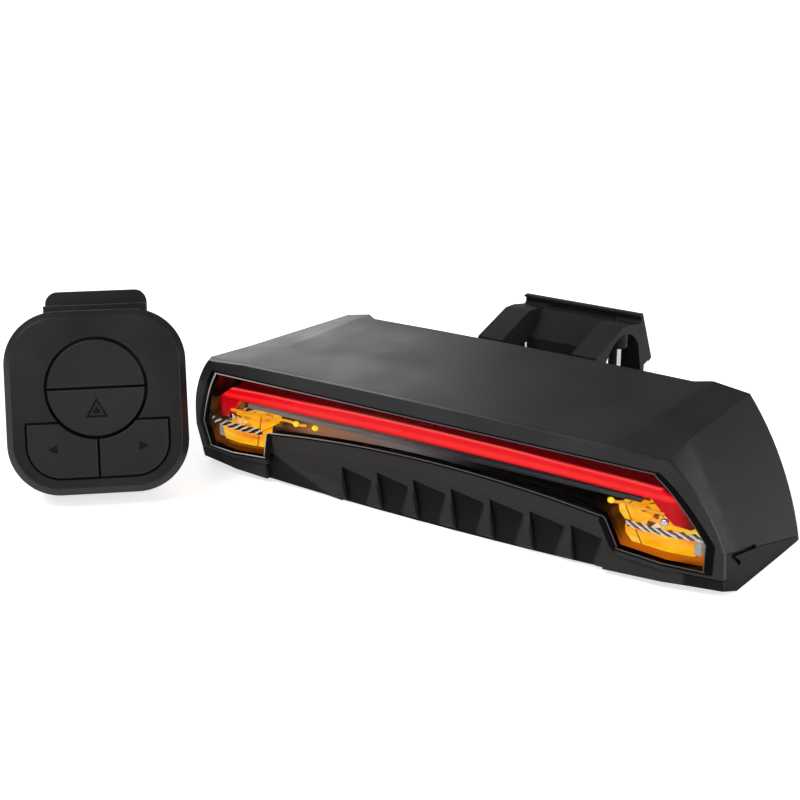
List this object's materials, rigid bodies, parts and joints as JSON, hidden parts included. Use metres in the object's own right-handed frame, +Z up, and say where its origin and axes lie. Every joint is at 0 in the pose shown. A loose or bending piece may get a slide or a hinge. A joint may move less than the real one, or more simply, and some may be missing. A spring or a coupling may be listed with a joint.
{
  "type": "bicycle turn signal light",
  "caption": "Wide rear bicycle light with a red bar, amber turn signals and a ribbed chin, on a seat post bracket, with its handlebar remote.",
  "frame": {"origin": "middle of the light's flat underside, on which it rests", "axes": "+X along the light to its right end seen from the front, -Y the way the light shines, +Z up"},
  "size_m": [0.1348, 0.0971, 0.0337],
  "materials": {
    "shell": "fine satin black",
    "bezel": "satin black trim",
    "clear_lens": "clear, polished",
    "smoked_tray": "dark, polished",
    "red_guide": "lit red, polished",
    "amber_guide": "lit amber, polished",
    "divider": "grey, satin",
    "board_green": "green circuit board",
    "chip_black": "moulded black",
    "emitter": "pale lens",
    "plug_white": "moulded white",
    "steel": "brushed",
    "polished_steel": "bright",
    "brass_barrel": "turned",
    "cell_wrap": "silver grey wrap",
    "foam": "soft foam",
    "rubber": "matte black",
    "remote_shell": "fine satin black",
    "key_rubber": "soft satin black"
  },
  "bodies": {
    "light": {"top_shell": "shell", "bottom_shell": "shell", "front_bezel": "bezel", "front_lens": "clear_lens", "reflector_tray": "smoked_tray", "red_light_guide": "red_guide", "divider_trim": "divider", "left_amber_upper_guide": "amber_guide", "right_amber_upper_guide": "amber_guide", "left_amber_lower_guide": "amber_guide", "right_amber_lower_guide": "amber_guide", "red_leds": "emitter", "left_amber_leds": "emitter", "right_amber_leds": "emitter", "led_board": "board_green", "body_screws": "steel", "battery_cell": "cell_wrap", "battery_pad": "foam", "battery_tabs": "steel", "main_board": "board_green", "board_screws": "steel", "control_chip": "chip_black", "radio_module": "chip_black", "board_plug": "plug_white", "charging_port": "steel", "power_switch": "chip_black", "left_laser": "brass_barrel", "right_laser": "brass_barrel", "laser_windows": "clear_lens", "mount_rail": "shell"},
    "bracket": {"bracket_yoke": "shell", "bracket_base": "shell", "clamp_screws": "polished_steel", "saddle_pad": "rubber"},
    "power_button": {"power_button": "rubber"},
    "port_cover": {"port_cover": "rubber"},
    "remote": {"remote_front_case": "remote_shell", "remote_back_case": "remote_shell", "remote_screws": "steel", "keypad_membrane": "rubber", "key_domes": "steel", "remote_board": "board_green", "remote_chip": "chip_black", "coin_holder": "chip_black", "coin_cell": "steel", "coin_clip": "steel", "strap_mount": "remote_shell", "mount_pad": "rubber"},
    "upper_disc_key": {"upper_disc_key": "key_rubber"},
    "lower_disc_key": {"lower_disc_key": "key_rubber"},
    "left_turn_key": {"left_turn_key": "key_rubber"},
    "right_turn_key": {"right_turn_key": "key_rubber"}
  },
  "joints": [
    {"name": "bracket_slide", "type": "slide", "parent": "light", "child": "bracket", "axis": [0, 0, 1], "range_m": [0, 0.014]},
    {"name": "power_press", "type": "slide", "parent": "light", "child": "power_button", "axis": [0, -0.9743, 0.2251], "range_m": [0, 0.0005], "stiffness_N_per_m": 2000, "springref_m": -0.0006},
    {"name": "cover_hinge", "type": "hinge", "parent": "light", "child": "port_cover", "pos_m": [-0.021, 0.01295, 0.01349], "axis": [-1, 0, 0], "range_deg": [0, 110]},
    {"name": "remote_lift", "type": "slide", "parent": "light", "child": "remote", "axis": [0, 0, 1], "range_m": [0, 0.05]},
    {"name": "laser_press", "type": "slide", "parent": "remote", "child": "upper_disc_key", "axis": [-0.6214, 0.7049, -0.342], "range_m": [0, 0.0006], "stiffness_N_per_m": 2000, "springref_m": -0.0006},
    {"name": "hazard_press", "type": "slide", "parent": "remote", "child": "lower_disc_key", "axis": [-0.6214, 0.7049, -0.342], "range_m": [0, 0.0006], "stiffness_N_per_m": 2000, "springref_m": -0.0006},
    {"name": "left_turn_press", "type": "slide", "parent": "remote", "child": "left_turn_key", "axis": [-0.6214, 0.7049, -0.342], "range_m": [0, 0.0006], "stiffness_N_per_m": 2000, "springref_m": -0.0006},
    {"name": "right_turn_press", "type": "slide", "parent": "remote", "child": "right_turn_key", "axis": [-0.6214, 0.7049, -0.342], "range_m": [0, 0.0006], "stiffness_N_per_m": 2000, "springref_m": -0.0006}
  ]
}
